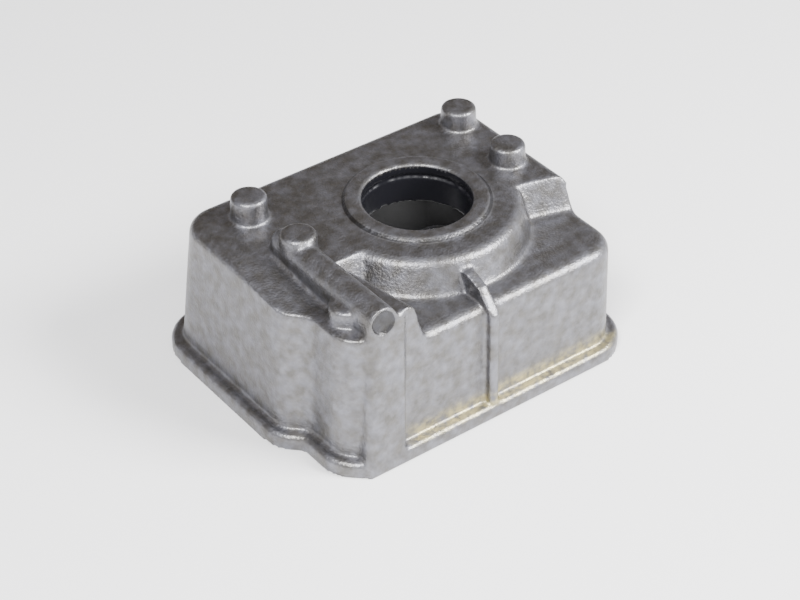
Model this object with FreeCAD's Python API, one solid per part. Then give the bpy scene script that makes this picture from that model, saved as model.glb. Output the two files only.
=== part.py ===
"""Die cast aluminium bearing housing: one hollow casting, open at its flange face.

Millimetres, +Z up. The origin is the centre of the flange's footprint, on the face
that the housing is bolted down on. +X runs along the long front wall and +Y to the
rear wall. The casting is drafted on every side, so it leaves its die along +Z.
"""
import FreeCAD, Part
import math
import os

Vector = FreeCAD.Vector

# ---- flange -------------------------------------------------------------------
FLANGE_LENGTH = 104.5
FLANGE_WIDTH = 84.6
FLANGE_HEIGHT = 4.5
FLANGE_CORNER_R = 14.0
FLANGE_EDGE_R = 1.6
LEDGE = 3.4

# ---- near left corner, stepped in beside the bolting pad ------------------------
NOTCH_DEPTH = 5.55
NOTCH_START_Y = -17.5
NOTCH_TURN_DEG = 50.0
NOTCH_CONVEX_R = 11.0
NOTCH_NECK_R = 3.0
NEAR_CORNER_R = 13.0

# ---- walls and roof -------------------------------------------------------------
WALL = 3.0
ROOF_HEIGHT = 44.0
SHOULDER_HEIGHT = 35.0
DRAFT_LEFT_DEG = 1.3
DRAFT_FRONT_DEG = 1.5
DRAFT_RIGHT_DEG = 2.0
DRAFT_REAR_DEG = 9.0
ROOF_EDGE_R = 3.0
ROOF_INNER_R = 1.5

# ---- step down from the roof to the front shoulder --------------------------------
STEP_TOP_Y = -3.4
STEP_SKEW_DEG = 15.0
ROOF_LEFT_Y = -9.0
STEP_FACE_DEG = 25.0

# ---- bearing seat, its collar and the drum round it --------------------------------
BORE_D = 30.0
BORE_X = 8.3
BORE_Y = 1.0
BORE_DEPTH = 12.0
BORE_CHAMFER = 0.5
RING_GROOVE_D = 31.6
RING_GROOVE_WIDTH = 1.3
RING_GROOVE_DEPTH = 2.9
COLLAR_D = 39.4
COLLAR_RISE = 1.0
COLLAR_EDGE_R = 0.4
SEAT_WALL = 4.0
DRUM_TOP_R = 28.0
DRUM_FOOT_R = 32.0
DRUM_FOOT_HEIGHT = 30.0
DRUM_LEAN_X = -1.8
DRUM_LEAN_Y = -2.0

# ---- stiffening rib down the front wall ---------------------------------------------
RIB_X = 2.0
RIB_THICKNESS = 3.0
RIB_STAND_OUT = 2.6
RIB_EDGE_R = 1.0
RIB_TOP_Z = 40.8
RIB_SHOULDER_Z = 35.0
RIB_NOSE_DROP = 2.0
RIB_NOSE_RUN = 5.5
RIB_SLOPE_DROP = 1.8

# ---- cross ridge on the left of the roof ----------------------------------------------
RIDGE_X = -32.3
RIDGE_R = 4.2
RIDGE_TOP_Z = 49.8
RIDGE_REAR_Y = 8.0
RIDGE_END_DEPTH = 0.6
RIDGE_RIM = 0.8
RIDGE_TILT_DEG = 8.0
RIDGE_STAND_OUT = 0.6

# ---- pocket between the ridge and the left wall ------------------------------------------
POCKET_REAR_Y = 9.0
POCKET_LEVEL_Y = -17.0
POCKET_Z = 41.4

# ---- bolting pad under the ridge's front end, and the web beside it -----------------------
PAD_LEFT_X = -40.0
PAD_RIGHT_X = -27.5
PAD_TOP_LEFT_X = -36.6
PAD_TOP_RIGHT_X = -25.2
PAD_TOP_Z = 45.6
PAD_LEAN_DEG = 4.6
PAD_DEPTH = 12.0
PAD_EDGE_R = 1.6
WEB_TOP_Z = 46.3
WEB_REAR_Z = 44.3
WEB_SHOULDER_X = -22.4
WEB_FOOT_X = -17.8
WEB_REAR_Y = -13.0
WEB_REAR_SHIFT_X = -2.4
WEB_CREST_R = 3.0

# ---- cast studs -------------------------------------------------------------------------
STUD_R = 4.9
STUD_DRAFT_DEG = 2.0
STUD_EDGE_R = 1.0
STUDS = {
    "left_rear": (-32.0, 21.3, 51.0),
    "left_ridge": (-31.4, -0.5, 51.2),
    "left_front": (-35.0, -26.6, 46.0),
    "right_rear": (40.0, 23.4, 50.0),
    "right_front": (39.3, 1.0, 49.8),
}
STUD_BURIED = 3.0


def unit(angle_deg: float) -> Vector:
    """Unit vector in the ground plane at an angle from +X."""
    angle = math.radians(angle_deg)
    return Vector(math.cos(angle), math.sin(angle), 0.0)


def meet(point_a: Vector, run_a: Vector, point_b: Vector, run_b: Vector) -> Vector:
    """Point where two ground plane lines meet."""
    across = run_a.x * run_b.y - run_a.y * run_b.x
    gap = point_b - point_a
    along = (gap.x * run_b.y - gap.y * run_b.x) / across
    return point_a + run_a * along


def rounded_wire(corners: list, radii: list, z: float) -> Part.Wire:
    """Closed wire through corner points, each corner rounded by its radius."""
    starts, mids, ends = [], [], []
    count = len(corners)
    for index, (corner, radius) in enumerate(zip(corners, radii)):
        back = (corners[index - 1] - corner).normalize()
        ahead = (corners[(index + 1) % count] - corner).normalize()
        half = back.getAngle(ahead) / 2.0
        reach = radius / math.tan(half)
        middle = (back + ahead).normalize()
        centre = corner + middle * (radius / math.sin(half))
        starts.append(corner + back * reach)
        mids.append(centre - middle * radius)
        ends.append(corner + ahead * reach)
    lift = Vector(0, 0, z)
    edges = []
    for index in range(count):
        arc = Part.Arc(starts[index] + lift, mids[index] + lift, ends[index] + lift)
        edges.append(arc.toShape())
        following = (index + 1) % count
        edges.append(Part.makeLine(ends[index] + lift, starts[following] + lift))
    return Part.Wire(edges)


def wall_outline(z: float, inset: float) -> Part.Wire:
    """Outline of the walls at a height, set in from the flange's edge and drafted."""
    rise = z - FLANGE_HEIGHT
    half_x = FLANGE_LENGTH / 2.0
    half_y = FLANGE_WIDTH / 2.0
    left = inset + rise * math.tan(math.radians(DRAFT_LEFT_DEG))
    front = inset + rise * math.tan(math.radians(DRAFT_FRONT_DEG))
    right = inset + rise * math.tan(math.radians(DRAFT_RIGHT_DEG))
    rear = inset + rise * math.tan(math.radians(DRAFT_REAR_DEG))
    slant = unit(NOTCH_TURN_DEG - 90.0)
    slant_out = unit(NOTCH_TURN_DEG - 180.0)
    slant_at = Vector(-half_x, NOTCH_START_Y, 0) - slant_out * left
    sides = [
        (Vector(0, -half_y + front, 0), unit(0)),
        (Vector(half_x - right, 0, 0), unit(90)),
        (Vector(0, half_y - rear, 0), unit(180)),
        (Vector(-half_x + left, 0, 0), unit(270)),
        (slant_at, slant),
        (Vector(-half_x + NOTCH_DEPTH + left, 0, 0), unit(270)),
    ]
    corners = []
    for index, (point, run) in enumerate(sides):
        before = sides[index - 1]
        corners.append(meet(before[0], before[1], point, run))
    radii = [
        NEAR_CORNER_R - left,
        FLANGE_CORNER_R - right,
        FLANGE_CORNER_R - right,
        FLANGE_CORNER_R - left,
        NOTCH_CONVEX_R - left,
        NOTCH_NECK_R + left,
    ]
    return rounded_wire(corners, radii, z)


def wall_block(bottom: float, top: float, inset: float) -> Part.Shape:
    """Solid between two heights with the drafted walls as its sides."""
    outlines = [wall_outline(bottom, inset), wall_outline(top, inset)]
    return Part.makeLoft(outlines, True, True)


def edges_at(shape: Part.Shape, z: float) -> list:
    """Edges that lie level at one height."""
    near = 0.01
    level = []
    for edge in shape.Edges:
        box = edge.BoundBox
        if abs(box.ZMin - z) < near and abs(box.ZMax - z) < near:
            level.append(edge)
    return level


def rounded_block(bottom: float, top: float, inset: float, radius: float) -> Part.Shape:
    """Wall block with its top edge rounded."""
    block = wall_block(bottom, top, inset)
    return block.makeFillet(radius, edges_at(block, top))


def flange() -> Part.Shape:
    """Flange plate with the rounded lip."""
    outline = wall_outline(FLANGE_HEIGHT, 0.0)
    outline.translate(Vector(0, 0, -FLANGE_HEIGHT))
    plate = Part.Face(outline).extrude(Vector(0, 0, FLANGE_HEIGHT))
    return plate.makeFillet(FLANGE_EDGE_R, edges_at(plate, FLANGE_HEIGHT))


def region(left_x: float, right_x: float, front_y: float, skew_deg: float) -> Part.Shape:
    """Space behind a front face that leans back, between two planes across the housing.

    The front face's top edge passes through front_y at the bore's axis and turns
    towards the front by the skew. Everything in this space rises to the full roof.
    """
    lean = math.tan(math.radians(STEP_FACE_DEG))
    skew = math.tan(math.radians(skew_deg))
    wires = []
    for z in (-WALL, ROOF_HEIGHT + WALL):
        forward = (ROOF_HEIGHT - z) * lean
        points = []
        for x in (left_x, right_x):
            points.append(Vector(x, front_y - forward - (x - BORE_X) * skew, z))
        points.append(Vector(right_x, FLANGE_WIDTH, z))
        points.append(Vector(left_x, FLANGE_WIDTH, z))
        points.append(points[0])
        wires.append(Part.makePolygon(points))
    return Part.makeLoft(wires, True, True)


def roof_region(offset: float) -> Part.Shape:
    """Space under the full roof, set back from its front faces by an offset."""
    edge = FLANGE_LENGTH
    right = region(BORE_X, edge, STEP_TOP_Y + offset, STEP_SKEW_DEG)
    left = region(-edge, BORE_X, ROOF_LEFT_Y + offset, 0.0)
    strip = region(-edge, RIDGE_X + offset, -edge, 0.0)
    return right.fuse([left, strip])


def drum(shrink: float, top: float, edge_r: float) -> Part.Shape:
    """Round drum that carries the bearing seat forward over the shoulder."""
    top_circle = Part.makeCircle(DRUM_TOP_R - shrink, Vector(BORE_X, BORE_Y, top))
    foot = Vector(BORE_X + DRUM_LEAN_X, BORE_Y + DRUM_LEAN_Y, DRUM_FOOT_HEIGHT)
    foot_circle = Part.makeCircle(DRUM_FOOT_R - shrink, foot)
    cone = Part.makeLoft([Part.Wire(foot_circle), Part.Wire(top_circle)], True, True)
    return cone.makeFillet(edge_r, edges_at(cone, top))


def pillar(x: float, y: float, bottom: float, top: float, radius: float) -> Part.Shape:
    """Upright cylinder between two heights."""
    return Part.makeCylinder(radius, top - bottom, Vector(x, y, bottom))


def collar() -> Part.Shape:
    """Machined collar round the mouth of the bore."""
    top = ROOF_HEIGHT + COLLAR_RISE
    ring = pillar(BORE_X, BORE_Y, ROOF_HEIGHT - WALL, top, COLLAR_D / 2.0)
    return ring.makeFillet(COLLAR_EDGE_R, edges_at(ring, top))


def seat_wall() -> Part.Shape:
    """Wall of the bearing seat, hanging below the roof inside the housing."""
    top = ROOF_HEIGHT + COLLAR_RISE
    radius = BORE_D / 2.0 + SEAT_WALL
    return pillar(BORE_X, BORE_Y, top - BORE_DEPTH, ROOF_HEIGHT, radius)


def bore() -> Part.Shape:
    """Bearing bore with its mouth chamfer and the groove for a retaining ring."""
    top = ROOF_HEIGHT + COLLAR_RISE
    radius = BORE_D / 2.0
    groove_r = RING_GROOVE_D / 2.0
    groove_top = top - RING_GROOVE_DEPTH
    groove_foot = groove_top - RING_GROOVE_WIDTH
    bottom = top - BORE_DEPTH - WALL
    section = [
        Vector(0, 0, bottom),
        Vector(radius, 0, bottom),
        Vector(radius, 0, groove_foot),
        Vector(groove_r, 0, groove_foot),
        Vector(groove_r, 0, groove_top),
        Vector(radius, 0, groove_top),
        Vector(radius, 0, top - BORE_CHAMFER),
        Vector(radius + BORE_CHAMFER, 0, top),
        Vector(radius + BORE_CHAMFER, 0, top + WALL),
        Vector(0, 0, top + WALL),
        Vector(0, 0, bottom),
    ]
    face = Part.Face(Part.makePolygon(section))
    turned = face.revolve(Vector(0, 0, 0), Vector(0, 0, 1), 360)
    turned.translate(Vector(BORE_X, BORE_Y, 0))
    return turned


def front_y(z: float, inset: float) -> float:
    """Position of the drafted front wall at a height."""
    rise = z - FLANGE_HEIGHT
    return -FLANGE_WIDTH / 2.0 + inset + rise * math.tan(math.radians(DRAFT_FRONT_DEG))


def rib() -> Part.Shape:
    """Stiffening rib from the drum's side over the shoulder and down the front wall."""
    foot_y = front_y(FLANGE_HEIGHT, LEDGE) - RIB_STAND_OUT
    nose_y = front_y(RIB_SHOULDER_Z, LEDGE) - RIB_STAND_OUT
    foot_z = FLANGE_HEIGHT - FLANGE_EDGE_R
    inner_y = BORE_Y - DRUM_TOP_R + WALL
    under_z = SHOULDER_HEIGHT - WALL
    behind_y = front_y(SHOULDER_HEIGHT, LEDGE + WALL / 2.0)
    outline = [
        Vector(0, foot_y, foot_z),
        Vector(0, nose_y, RIB_SHOULDER_Z - RIB_NOSE_DROP),
        Vector(0, nose_y + RIB_NOSE_RUN, RIB_TOP_Z - RIB_SLOPE_DROP),
        Vector(0, BORE_Y - DRUM_TOP_R - WALL, RIB_TOP_Z),
        Vector(0, inner_y, RIB_TOP_Z),
        Vector(0, inner_y, under_z),
        Vector(0, behind_y, under_z),
        Vector(0, behind_y, foot_z),
        Vector(0, foot_y, foot_z),
    ]
    face = Part.Face(Part.makePolygon(outline))
    face.translate(Vector(RIB_X - RIB_THICKNESS / 2.0, 0, 0))
    plate = face.extrude(Vector(RIB_THICKNESS, 0, 0))
    outer = []
    for edge in plate.Edges:
        box = edge.BoundBox
        upright = box.XLength < RIB_THICKNESS / 2.0
        if upright and box.YMax < behind_y - RIB_EDGE_R and box.ZMax > foot_z:
            outer.append(edge)
    return plate.makeFillet(RIB_EDGE_R, outer)


def ridge() -> Part.Shape:
    """Round backed ridge across the left of the roof, with a ball shaped rear end."""
    axis_z = RIDGE_TOP_Z - RIDGE_R
    front = front_y(RIDGE_TOP_Z, LEDGE) - RIDGE_STAND_OUT
    rear = RIDGE_REAR_Y - RIDGE_R
    start = Vector(RIDGE_X, front, axis_z)
    back = Part.makeCylinder(RIDGE_R, rear - front, start, Vector(0, 1, 0))
    ball = Part.makeSphere(RIDGE_R, Vector(RIDGE_X, rear, axis_z))
    below = axis_z - POCKET_Z + WALL / 2.0
    corner = Vector(RIDGE_X - RIDGE_R, front, axis_z - below)
    flank = Part.makeBox(2.0 * RIDGE_R, rear - front, below, corner)
    end = pillar(RIDGE_X, rear, axis_z - below, axis_z, RIDGE_R)
    return back.fuse([ball, flank, end])


def ridge_recess() -> Part.Shape:
    """Shallow recess in the ridge's front end, its floor tilted to one side."""
    axis_z = RIDGE_TOP_Z - RIDGE_R
    front = front_y(RIDGE_TOP_Z, LEDGE) - RIDGE_STAND_OUT
    radius = RIDGE_R - RIDGE_RIM
    sink = Vector(RIDGE_X, front + RIDGE_END_DEPTH, axis_z)
    tilt = math.sin(math.radians(RIDGE_TILT_DEG))
    out = Vector(-tilt, -1, tilt)
    return Part.makeCylinder(radius, WALL, sink, out)


def pocket() -> Part.Shape:
    """Space above the pocket's floor, between the left wall and the ridge."""
    edge = FLANGE_LENGTH
    high = RIDGE_TOP_Z + WALL
    outline = [
        Vector(-edge, POCKET_REAR_Y, ROOF_HEIGHT),
        Vector(-edge, POCKET_LEVEL_Y, POCKET_Z),
        Vector(-edge, -edge, POCKET_Z),
        Vector(-edge, -edge, high),
        Vector(-edge, POCKET_REAR_Y, high),
        Vector(-edge, POCKET_REAR_Y, ROOF_HEIGHT),
    ]
    face = Part.Face(Part.makePolygon(outline))
    return face.extrude(Vector(edge + RIDGE_X, 0, 0))


def pocket_roof() -> Part.Shape:
    """Metal kept under the pocket's floor and under the ridge."""
    edge = FLANGE_LENGTH
    width = edge + RIDGE_X + RIDGE_R
    corner = Vector(-edge, -edge, POCKET_Z - WALL)
    return Part.makeBox(width, edge + POCKET_REAR_Y, ROOF_HEIGHT - POCKET_Z + WALL, corner)


def pad() -> Part.Shape:
    """Bolting pad under the ridge's front end, leaning back with the wall's draft."""
    wires = []
    lean = math.tan(math.radians(PAD_LEAN_DEG))
    ends = ((0.0, PAD_LEFT_X, PAD_RIGHT_X), (PAD_TOP_Z, PAD_TOP_LEFT_X, PAD_TOP_RIGHT_X))
    for z, left, right in ends:
        front = -FLANGE_WIDTH / 2.0 + z * lean
        rear = -FLANGE_WIDTH / 2.0 + PAD_DEPTH
        corners = [
            Vector(left, front, 0),
            Vector(right, front, 0),
            Vector(right, rear, 0),
            Vector(left, rear, 0),
        ]
        radii = [PAD_EDGE_R, PAD_EDGE_R, PAD_EDGE_R, PAD_EDGE_R]
        wires.append(rounded_wire(corners, radii, z))
    return Part.makeLoft(wires, True, True)


def web() -> Part.Shape:
    """Web beside the ridge that falls to the shoulder and dies away at the roof."""
    wires = []
    front = front_y(PAD_TOP_Z, LEDGE)
    ends = ((front, WEB_TOP_Z, 0.0), (WEB_REAR_Y, WEB_REAR_Z, WEB_REAR_SHIFT_X))
    under_z = SHOULDER_HEIGHT - WALL
    for y, top, shift in ends:
        points = [
            Vector(RIDGE_X, y, under_z),
            Vector(WEB_FOOT_X + shift, y, under_z),
            Vector(WEB_SHOULDER_X + shift, y, top),
            Vector(RIDGE_X, y, top),
        ]
        points.append(points[0])
        wires.append(Part.makePolygon(points))
    block = Part.makeLoft(wires, True, True)
    crest = []
    for edge in block.Edges:
        box = edge.BoundBox
        along_crest = box.YLength > WEB_CREST_R and box.ZMin > ROOF_HEIGHT
        if along_crest and box.XMin > WEB_SHOULDER_X - WEB_CREST_R:
            crest.append(edge)
    return block.makeFillet(WEB_CREST_R, crest)


def stud(x: float, y: float, top: float, bottom: float) -> Part.Shape:
    """Cast stud, drafted, with a rounded top edge."""
    spread = (top - bottom) * math.tan(math.radians(STUD_DRAFT_DEG))
    post = Part.makeCone(STUD_R + spread, STUD_R, top - bottom, Vector(x, y, bottom))
    return post.makeFillet(STUD_EDGE_R, edges_at(post, top))


def outside() -> Part.Shape:
    """Outer form of the casting before it is hollowed."""
    lower = rounded_block(0.0, SHOULDER_HEIGHT, LEDGE, ROOF_EDGE_R)
    upper = rounded_block(0.0, ROOF_HEIGHT, LEDGE, ROOF_EDGE_R)
    upper = upper.common(roof_region(0.0)).cut(pocket())
    form = lower.fuse([upper, flange()])
    form = form.fuse([drum(0.0, ROOF_HEIGHT, ROOF_EDGE_R), pad(), web(), ridge()])
    posts = []
    for x, y, top in STUDS.values():
        posts.append(stud(x, y, top, ROOF_HEIGHT - STUD_BURIED))
    return form.fuse(posts + [rib(), collar()])


def cavity() -> Part.Shape:
    """Inside of the housing: the walls' offset, open at the flange face."""
    inset = LEDGE + WALL
    lower = rounded_block(-WALL, SHOULDER_HEIGHT - WALL, inset, ROOF_INNER_R)
    upper = rounded_block(0.0, ROOF_HEIGHT - WALL, inset, ROOF_INNER_R)
    upper = upper.common(roof_region(WALL)).cut(pocket_roof())
    room = lower.fuse([upper, drum(WALL, ROOF_HEIGHT - WALL, ROOF_INNER_R)])
    return room.cut(seat_wall())


def main() -> None:
    """Build the casting and write its STEP file."""
    os.makedirs("parts", exist_ok=True)
    casting = outside().cut(cavity()).cut(bore()).cut(ridge_recess())
    casting = casting.removeSplitter()
    print("valid", casting.isValid(), "solids", len(casting.Solids), "volume", round(casting.Volume))
    casting.Solids[0].exportStep("parts/housing_casting.step")


if __name__ == "__main__":
    main()
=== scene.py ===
"""Die cast aluminium bearing housing: soft cast form, finish, light and camera.

The casting is a copy of the CAD node's mesh, rebuilt on an even grid and relaxed so that
its corners flow into each other as cast metal does. The bearing seat stays crisp.
Metres, +Z up, in the frame of the CAD model.
"""

import logging
import math
from dataclasses import dataclass, field
from enum import Enum

import bpy
from mathutils import Matrix, Vector

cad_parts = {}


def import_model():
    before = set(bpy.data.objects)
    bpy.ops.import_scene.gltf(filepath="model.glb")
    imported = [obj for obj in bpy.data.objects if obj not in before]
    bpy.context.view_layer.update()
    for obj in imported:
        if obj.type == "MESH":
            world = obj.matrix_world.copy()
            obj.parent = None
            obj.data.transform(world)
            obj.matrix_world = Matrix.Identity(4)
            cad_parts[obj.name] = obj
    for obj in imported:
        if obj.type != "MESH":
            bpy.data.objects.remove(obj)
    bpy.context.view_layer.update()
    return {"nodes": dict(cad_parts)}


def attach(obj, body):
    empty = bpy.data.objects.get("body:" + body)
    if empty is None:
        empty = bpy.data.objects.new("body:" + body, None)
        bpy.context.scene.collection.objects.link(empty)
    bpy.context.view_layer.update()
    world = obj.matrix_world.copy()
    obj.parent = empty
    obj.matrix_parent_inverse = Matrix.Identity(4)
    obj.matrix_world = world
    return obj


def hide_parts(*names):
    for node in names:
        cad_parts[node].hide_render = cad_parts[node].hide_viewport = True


log = logging.getLogger("housing")

MM = 0.001


def linear(sheet: str) -> tuple:
    """Turn an sRGB hex colour into linear values.

    Args:
        sheet: six hex digits, such as "8a8a8e".

    Returns:
        Red, green, blue and alpha for a shader socket.
    """
    values = []
    for start in (0, 2, 4):
        level = int(sheet[start:start + 2], 16) / 255.0
        values.append(level / 12.92 if level <= 0.04045 else ((level + 0.055) / 1.055) ** 2.4)
    return (*values, 1.0)


class Blend(Enum):
    """How strongly a region of the casting is relaxed."""

    EDGE = "edge_softness"
    FLOW = "flow_softness"


@dataclass(frozen=True)
class CastFinish:
    """Shot blasted aluminium: colours, roughness and grain, with painted shade in the
    collar's crease and the recess and a painted warm highlight on the front ledge.
    """

    light: str = "7b7b80"
    dark: str = "686664"
    # Painted highlight: a warm, lighter colour on the front ledge's fillet, where that band
    # catches the light.
    highlight_colour: str = "a89f7c"
    metallic: float = 0.94
    smooth: float = 0.34
    rough: float = 0.46
    grain_mm: float = 0.7
    fleck_mm: float = 2.1
    mottle_mm: float = 3.5
    grain_height: float = 0.24
    mottle_range: tuple = (0.36, 0.66)
    fleck_range: tuple = (0.35, 0.68)
    fleck_gain: tuple = (0.86, 1.08)
    highlight_z_mm: tuple = (9.5, 5.0)
    highlight_foot_mm: tuple = (3.4, 4.4)
    highlight_y_mm: tuple = (-36.0, -38.0)
    highlight_x_mm: tuple = (-27.0, -22.0)
    highlight_break: tuple = (0.3, 0.6)
    bore_centre_mm: tuple = (8.3, 1.0, 0.0)
    # Painted shade: a dark ring in the crease at the collar's foot and a dark spot in the
    # recess at the ridge's front end.
    collar_crease_shade_mm: tuple = (19.55, 20.15)
    recess_centre_mm: tuple = (-32.3, -38.4, 45.6)
    recess_mm: tuple = (-1.0, 3.2)
    band_edge_mm: float = 0.25
    painted_shade_depth: float = 0.62

    def build(self, name: str) -> bpy.types.Material:
        """Make the material.

        Args:
            name: the material's name.

        Returns:
            The finished material.
        """
        material = bpy.data.materials.new(name)
        material.use_nodes = True
        tree = material.node_tree
        shader = tree.nodes["Principled BSDF"]
        shader.inputs["Metallic"].default_value = self.metallic
        place = add_node(tree, "ShaderNodeTexCoord")
        grain = self.noise(tree, place, self.grain_mm, 2.0)
        mottle = self.noise(tree, place, self.mottle_mm, 5.0)
        fleck = self.noise(tree, place, self.fleck_mm, 3.0)
        tone = mix_colours(tree, mottle, self.mottle_range, self.dark, self.light)
        worn = ranged(tree, fleck.outputs["Fac"], self.fleck_range, self.fleck_gain)
        # Painted highlight: warm, lighter colour on the front ledge's fillet.
        painted_ledge_light = self.painted_ledge_light(tree, place, tone, fleck)
        scaled = add_node(tree, "ShaderNodeVectorMath")
        scaled.operation = "SCALE"
        tree.links.new(painted_ledge_light, scaled.inputs[0])
        tree.links.new(worn, scaled.inputs["Scale"])
        shaded = self.shaded(tree, place, scaled)
        tree.links.new(shaded.outputs["Vector"], shader.inputs["Base Color"])
        gloss = ranged(tree, mottle.outputs["Fac"], (0.0, 1.0), (self.smooth, self.rough))
        tree.links.new(gloss, shader.inputs["Roughness"])
        bump = add_node(tree, "ShaderNodeBump")
        bump.inputs["Strength"].default_value = self.grain_height
        bump.inputs["Distance"].default_value = self.grain_mm * MM
        tree.links.new(grain.outputs["Fac"], bump.inputs["Height"])
        tree.links.new(bump.outputs["Normal"], shader.inputs["Normal"])
        return material

    def shaded(
        self,
        tree: bpy.types.NodeTree,
        place: bpy.types.Node,
        tone: bpy.types.Node,
    ) -> bpy.types.Node:
        """Paint shade into the crease round the collar's foot and into the recess in the
        ridge's front end.

        Args:
            tree: node tree of the material.
            place: texture coordinate node.
            tone: node with the colour so far.

        Returns:
            Vector node with the darkened colour.
        """
        flat = add_node(tree, "ShaderNodeVectorMath")
        flat.operation = "MULTIPLY"
        flat.inputs[1].default_value = (1.0, 1.0, 0.0)
        tree.links.new(place.outputs["Object"], flat.inputs[0])
        line = self.distance(tree, flat.outputs["Vector"], self.bore_centre_mm)
        collar = self.band(tree, line, self.collar_crease_shade_mm)
        inward = self.distance(tree, place.outputs["Object"], self.recess_centre_mm)
        recess = self.band(tree, inward, self.recess_mm)
        # Painted shade: darken the colour in the collar's crease and in the recess.
        keep = add_node(tree, "ShaderNodeMath")
        keep.operation = "MULTIPLY_ADD"
        keep.inputs[1].default_value = -self.painted_shade_depth
        keep.inputs[2].default_value = 1.0
        most = add_node(tree, "ShaderNodeMath")
        most.operation = "MAXIMUM"
        tree.links.new(collar, most.inputs[0])
        tree.links.new(recess, most.inputs[1])
        tree.links.new(most.outputs["Value"], keep.inputs[0])
        darker = add_node(tree, "ShaderNodeVectorMath")
        darker.operation = "SCALE"
        tree.links.new(tone.outputs["Vector"], darker.inputs[0])
        tree.links.new(keep.outputs["Value"], darker.inputs["Scale"])
        return darker

    def distance(
        self,
        tree: bpy.types.NodeTree,
        place: bpy.types.NodeSocket,
        centre_mm: tuple,
    ) -> bpy.types.NodeSocket:
        """Distance of each point from a centre.

        Args:
            tree: node tree of the material.
            place: socket with the point.
            centre_mm: the centre, in millimetres.

        Returns:
            Socket with the distance in metres.
        """
        gap = add_node(tree, "ShaderNodeVectorMath")
        gap.operation = "DISTANCE"
        gap.inputs[1].default_value = tuple(value * MM for value in centre_mm)
        tree.links.new(place, gap.inputs[0])
        return gap.outputs["Value"]

    def band(
        self,
        tree: bpy.types.NodeTree,
        gap: bpy.types.NodeSocket,
        limits_mm: tuple,
    ) -> bpy.types.NodeSocket:
        """Mask for distances between two limits, with soft edges.

        Args:
            tree: node tree of the material.
            gap: socket with the distance in metres.
            limits_mm: where the band begins and ends.

        Returns:
            Socket that is 1 in the band and 0 outside it.
        """
        low, high = limits_mm
        opens = ranged(tree, gap, in_metres((low - self.band_edge_mm, low)))
        closes = ranged(tree, gap, in_metres((high + self.band_edge_mm, high)))
        return multiply(tree, opens, closes)

    def noise(
        self,
        tree: bpy.types.NodeTree,
        place: bpy.types.Node,
        size_mm: float,
        detail: float,
    ) -> bpy.types.Node:
        """Add a noise pattern in object space.

        Args:
            tree: node tree of the material.
            place: texture coordinate node.
            size_mm: size of one cell of the pattern.
            detail: how many finer layers it has.

        Returns:
            The noise node.
        """
        pattern = add_node(tree, "ShaderNodeTexNoise")
        pattern.inputs["Scale"].default_value = 1.0 / (size_mm * MM)
        pattern.inputs["Detail"].default_value = detail
        tree.links.new(place.outputs["Object"], pattern.inputs["Vector"])
        return pattern

    def painted_ledge_light(
        self,
        tree: bpy.types.NodeTree,
        place: bpy.types.Node,
        tone: bpy.types.Node,
        fleck: bpy.types.Node,
    ) -> bpy.types.NodeSocket:
        """Paint a warm highlight over the grey on the front ledge's fillet, low down on the
        casting.

        Args:
            tree: node tree of the material.
            place: texture coordinate node.
            tone: node with the grey tone.
            fleck: noise that breaks the painted highlight up.

        Returns:
            Socket with the tinted colour.
        """
        split = add_node(tree, "ShaderNodeSeparateXYZ")
        tree.links.new(place.outputs["Object"], split.inputs["Vector"])
        x, y, z = (split.outputs[axis] for axis in "XYZ")
        low = ranged(tree, z, in_metres(self.highlight_z_mm))
        low.node.interpolation_type = "SMOOTHSTEP"
        above = ranged(tree, z, in_metres(self.highlight_foot_mm))
        front = ranged(tree, y, in_metres(self.highlight_y_mm))
        right = ranged(tree, x, in_metres(self.highlight_x_mm))
        speck = ranged(tree, fleck.outputs["Fac"], self.highlight_break)
        amount = low
        for mask in (above, front, right, speck):
            amount = multiply(tree, amount, mask)
        mix = add_node(tree, "ShaderNodeMix")
        mix.data_type = "RGBA"
        mix.inputs[7].default_value = linear(self.highlight_colour)
        tree.links.new(amount, mix.inputs["Factor"])
        tree.links.new(tone.outputs["Color"], mix.inputs[6])
        return mix.outputs[2]


@dataclass(frozen=True)
class PlainFinish:
    """One colour with one roughness."""

    colour: str
    roughness: float

    def build(self, name: str) -> bpy.types.Material:
        """Make the material.

        Args:
            name: the material's name.

        Returns:
            The finished material.
        """
        material = bpy.data.materials.new(name)
        material.use_nodes = True
        shader = material.node_tree.nodes["Principled BSDF"]
        shader.inputs["Base Color"].default_value = linear(self.colour)
        shader.inputs["Roughness"].default_value = self.roughness
        return material


def add_node(tree: bpy.types.NodeTree, kind: str) -> bpy.types.Node:
    """Add a shader node.

    Args:
        tree: node tree to add it to.
        kind: Blender's name for the node type.

    Returns:
        The new node.
    """
    return tree.nodes.new(kind)


def in_metres(limits_mm: tuple) -> tuple:
    """Turn limits in millimetres into metres.

    Args:
        limits_mm: the limits.

    Returns:
        The limits in metres.
    """
    return tuple(limit * MM for limit in limits_mm)


def ranged(
    tree: bpy.types.NodeTree,
    value: bpy.types.NodeSocket,
    source: tuple,
    target: tuple = (0.0, 1.0),
) -> bpy.types.NodeSocket:
    """Map a value from one range to another, held at both ends.

    Args:
        tree: node tree of the material.
        value: socket with the value.
        source: range that it comes from. The first limit may be the higher one.
        target: range that it goes to.

    Returns:
        Socket with the mapped value.
    """
    node = add_node(tree, "ShaderNodeMapRange")
    names = ("From Min", "From Max", "To Min", "To Max")
    for name, limit in zip(names, (*source, *target)):
        node.inputs[name].default_value = limit
    tree.links.new(value, node.inputs["Value"])
    return node.outputs["Result"]


def multiply(
    tree: bpy.types.NodeTree,
    first: bpy.types.NodeSocket,
    second: bpy.types.NodeSocket,
) -> bpy.types.NodeSocket:
    """Multiply two outputs.

    Args:
        tree: node tree of the material.
        first: one output socket.
        second: the other output socket.

    Returns:
        Socket with the product.
    """
    product = add_node(tree, "ShaderNodeMath")
    product.operation = "MULTIPLY"
    tree.links.new(first, product.inputs[0])
    tree.links.new(second, product.inputs[1])
    return product.outputs["Value"]


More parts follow.
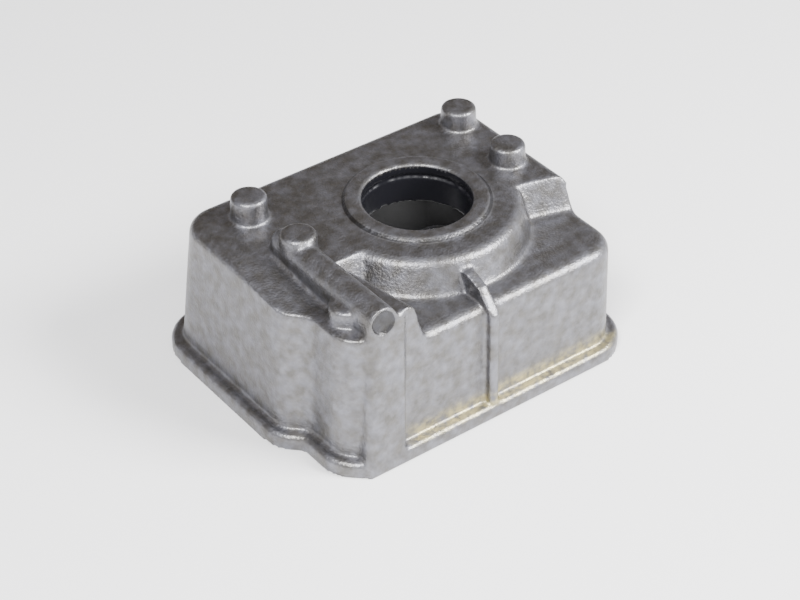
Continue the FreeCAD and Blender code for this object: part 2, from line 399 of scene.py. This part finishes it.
def mix_colours(
    tree: bpy.types.NodeTree,
    pattern: bpy.types.Node,
    limits: tuple,
    dark: str,
    light: str,
) -> bpy.types.Node:
    """Turn a noise pattern into a range of two colours.

    Args:
        tree: node tree of the material.
        pattern: noise node.
        limits: pattern values that give the dark and the light colour.
        dark: sRGB hex colour.
        light: sRGB hex colour.

    Returns:
        Colour ramp node.
    """
    ramp = add_node(tree, "ShaderNodeValToRGB")
    for stop, position, colour in zip(ramp.color_ramp.elements, limits, (dark, light)):
        stop.position = position
        stop.color = linear(colour)
    tree.links.new(pattern.outputs["Fac"], ramp.inputs["Fac"])
    return ramp


def clamped(value: float) -> float:
    """Hold a value between 0 and 1.

    Args:
        value: any number.

    Returns:
        The value, held.
    """
    return max(0.0, min(1.0, value))


@dataclass
class Casting:
    """The housing, softened from the CAD node's form."""

    source: bpy.types.Object
    finish: CastFinish
    grid: float = 0.55 * MM
    triangles: int = 185000
    merge: float = 0.02 * MM
    bore_centre: Vector = field(default_factory=lambda: Vector((8.3, 1.0)) * MM)
    collar_radius: float = 20.4 * MM
    flange_top: float = 3.4 * MM
    roof_from: float = 31.0 * MM
    edge_steps: int = 4
    flow_steps: int = 22
    rib_centre: Vector = field(default_factory=lambda: Vector((2.0, -36.0)) * MM)
    ridge_end: Vector = field(default_factory=lambda: Vector((-32.3, -38.5, 45.6)) * MM)
    # Painted shade: near-black finish for the cavity and the bore's wall, which stand in
    # shade.
    inside_shade: PlainFinish = PlainFinish("17171b", 0.3)
    rib_half_width: float = 2.6 * MM
    rib_front_y: float = -27.0 * MM
    ridge_keep: float = 5.5 * MM
    fade: float = 3.0 * MM
    collar_fade: float = 2.0 * MM
    flow_top: float = 41.6 * MM
    flow_top_fade: float = 0.8 * MM
    probe_reach: float = 60.0 * MM
    probe_lift: float = 1.5 * MM
    bore_radius: float = 16.2 * MM
    bore_mouth: float = 44.0 * MM
    overhang: float = 8.0 * MM
    inside_x: float = 47.5 * MM
    inside_y: float = 37.6 * MM

    def build(self) -> bpy.types.Object:
        """Make the piece.

        Returns:
            The softened casting.
        """
        piece = bpy.data.objects.new("housing_shell", self.source.data.copy())
        bpy.context.scene.collection.objects.link(piece)
        bpy.ops.object.select_all(action="DESELECT")
        bpy.context.view_layer.objects.active = piece
        piece.select_set(True)
        bpy.ops.object.mode_set(mode="EDIT")
        bpy.ops.mesh.select_all(action="SELECT")
        bpy.ops.mesh.remove_doubles(threshold=self.merge)
        bpy.ops.object.mode_set(mode="OBJECT")
        self.remesh(piece)
        self.thin(piece)
        self.relax(piece, Blend.EDGE, self.edge_steps)
        self.relax(piece, Blend.FLOW, self.flow_steps)
        bpy.ops.object.shade_smooth()
        piece.data.materials.clear()
        piece.data.materials.append(self.finish.build("cast_aluminium_finish"))
        # Second slot: painted shade for the cavity and the bore's wall.
        piece.data.materials.append(self.inside_shade.build("painted_shade_inside"))
        self.darken_inside(piece)
        return piece

    def darken_inside(self, piece: bpy.types.Object) -> None:
        """Give the cavity and the bore's wall the near-black finish, which is painted shade.

        Args:
            piece: the casting.
        """
        up = Vector((0.0, 0.0, 1.0))
        for face in piece.data.polygons:
            centre = face.center
            start = centre + face.normal * self.probe_lift
            hit = piece.ray_cast(start, up, distance=self.probe_reach)[0]
            covered = hit and centre.z > self.probe_lift
            around = (centre.xy - self.bore_centre).length
            in_bore = around < self.bore_radius and centre.z < self.bore_mouth
            overhung = (centre - self.ridge_end).length < self.overhang
            if (covered and not overhung and self.within(centre)) or in_bore:
                face.material_index = 1

    def within(self, place: Vector) -> bool:
        """Whether a point lies in the plan of the cavity.

        Args:
            place: the point.

        Returns:
            True for points inside the walls' plan.
        """
        return abs(place.x) < self.inside_x and abs(place.y) < self.inside_y

    def remesh(self, piece: bpy.types.Object) -> None:
        """Rebuild the surface on an even grid.

        Args:
            piece: the casting.
        """
        grid = piece.modifiers.new("even_grid", "REMESH")
        grid.mode = "VOXEL"
        grid.voxel_size = self.grid
        bpy.ops.object.modifier_apply(modifier=grid.name)

    def share(self, blend: Blend, place: Vector) -> float:
        """How far a point takes part in a relaxation.

        Args:
            blend: which relaxation.
            place: the point.

        Returns:
            0 where the metal is machined or flat on its base, 1 where it is freely cast.
        """
        around = (place.xy - self.bore_centre).length
        if around < self.collar_radius or place.z < self.flange_top:
            return 0.0
        if (place - self.ridge_end).length < self.ridge_keep:
            return 0.0
        if blend is Blend.EDGE:
            return 1.0
        beside_rib = abs(place.x - self.rib_centre.x) < self.rib_half_width
        if beside_rib and place.y < self.rib_front_y:
            return 0.0
        rise = clamped((place.z - self.roof_from) / self.fade)
        away = clamped((around - self.collar_radius) / self.collar_fade)
        below = 1.0 - clamped(1.0 - (self.flow_top - place.z) / self.flow_top_fade)
        return rise * away * below

    def relax(self, piece: bpy.types.Object, blend: Blend, steps: int) -> None:
        """Relax the surface in a region.

        Args:
            piece: the casting.
            blend: which relaxation.
            steps: how many times.
        """
        group = piece.vertex_groups.new(name=blend.value)
        for vertex in piece.data.vertices:
            amount = self.share(blend, vertex.co)
            if amount > 0.0:
                group.add([vertex.index], amount, "REPLACE")
        smooth = piece.modifiers.new(blend.value, "SMOOTH")
        smooth.factor = 0.5
        smooth.iterations = steps
        smooth.vertex_group = group.name
        bpy.ops.object.modifier_apply(modifier=smooth.name)

    def thin(self, piece: bpy.types.Object) -> None:
        """Bring the triangle count down.

        Args:
            piece: the casting.
        """
        piece.data.calc_loop_triangles()
        count = len(piece.data.loop_triangles)
        if count > self.triangles:
            fewer = piece.modifiers.new("fewer_faces", "DECIMATE")
            fewer.ratio = self.triangles / count
            bpy.ops.object.modifier_apply(modifier=fewer.name)
        piece.data.calc_loop_triangles()
        log.info("casting has %d triangles, from %d", len(piece.data.loop_triangles), count)


@dataclass
class Studio:
    """Pale floor, soft lights, dark panel behind and the camera."""

    floor_size: float = 6.0
    target: Vector = field(default_factory=lambda: Vector((0.0, 0.0, 0.022)))
    eye: Vector = field(default_factory=lambda: Vector((-0.2940052, -0.3896448, 0.3877225)))
    azimuth: float = math.radians(-37.2)
    elevation: float = math.radians(37.4)
    lens: float = 101.25

    def build(self) -> None:
        """Set the stage."""
        self.floor()
        self.dark_panel()
        self.world()
        self.softbox("front_softbox", Vector((0.38, -0.48, 0.5)), 0.3, 16.0)
        self.softbox("top_softbox", Vector((-0.42, -0.3, 0.66)), 0.24, 11.0)
        self.camera()

    def floor(self) -> None:
        """Plain pale floor."""
        bpy.ops.mesh.primitive_plane_add(size=self.floor_size)
        floor = bpy.context.object
        floor.name = "floor"
        floor.data.materials.append(PlainFinish("f7f7f7", 0.9).build("floor_paint"))

    def dark_panel(self) -> None:
        """Dark panel behind the part, which darkens what its top reflects."""
        bpy.ops.mesh.primitive_plane_add(size=1.6)
        panel = bpy.context.object
        panel.name = "rear_panel"
        turn = Matrix.Rotation(math.radians(90.0), 4, "X")
        stretch = Matrix.Diagonal((2.7, 1.4, 1.0, 1.0))
        panel.data.transform(Matrix.Translation((0.3, 1.6, 1.45)) @ turn @ stretch)
        panel.data.materials.append(PlainFinish("574832", 0.9).build("panel_cloth"))

    def world(self) -> None:
        """Even soft surroundings."""
        world = bpy.data.worlds.new("studio")
        world.use_nodes = True
        shade = world.node_tree.nodes["Background"]
        shade.inputs["Color"].default_value = linear("ededf2")
        shade.inputs["Strength"].default_value = 1.2
        bpy.context.scene.world = world

    def softbox(self, name: str, place: Vector, size: float, power: float) -> None:
        """Area light aimed at the part.

        Args:
            name: the light's name.
            place: where it stands.
            size: side of its square.
            power: in watts.
        """
        light = bpy.data.lights.new(name, "AREA")
        light.size = size
        light.energy = power
        holder = bpy.data.objects.new(name, light)
        bpy.context.scene.collection.objects.link(holder)
        holder.location = place
        holder.rotation_euler = (self.target - place).to_track_quat("-Z", "Y").to_euler()

    def camera(self) -> None:
        """Camera that looks down at the part's near left corner."""
        lens = bpy.data.cameras.new("camera")
        lens.lens = self.lens
        lens.sensor_width = 36.0
        lens.clip_start = 0.01
        view = bpy.data.objects.new("camera", lens)
        bpy.context.scene.collection.objects.link(view)
        view.location = self.eye
        level = math.cos(self.elevation)
        ahead = Vector((
            -math.sin(self.azimuth) * level,
            math.cos(self.azimuth) * level,
            -math.sin(self.elevation),
        ))
        view.rotation_euler = ahead.to_track_quat("-Z", "Y").to_euler()
        bpy.context.scene.camera = view


def main() -> None:
    """Build the scene round the frame."""
    logging.basicConfig(level=logging.INFO)
    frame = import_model()
    casting = Casting(frame["nodes"]["housing_casting"], CastFinish()).build()
    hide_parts("housing_casting")
    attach(casting, "root")
    Studio().build()


if __name__ == "__main__":
    main()
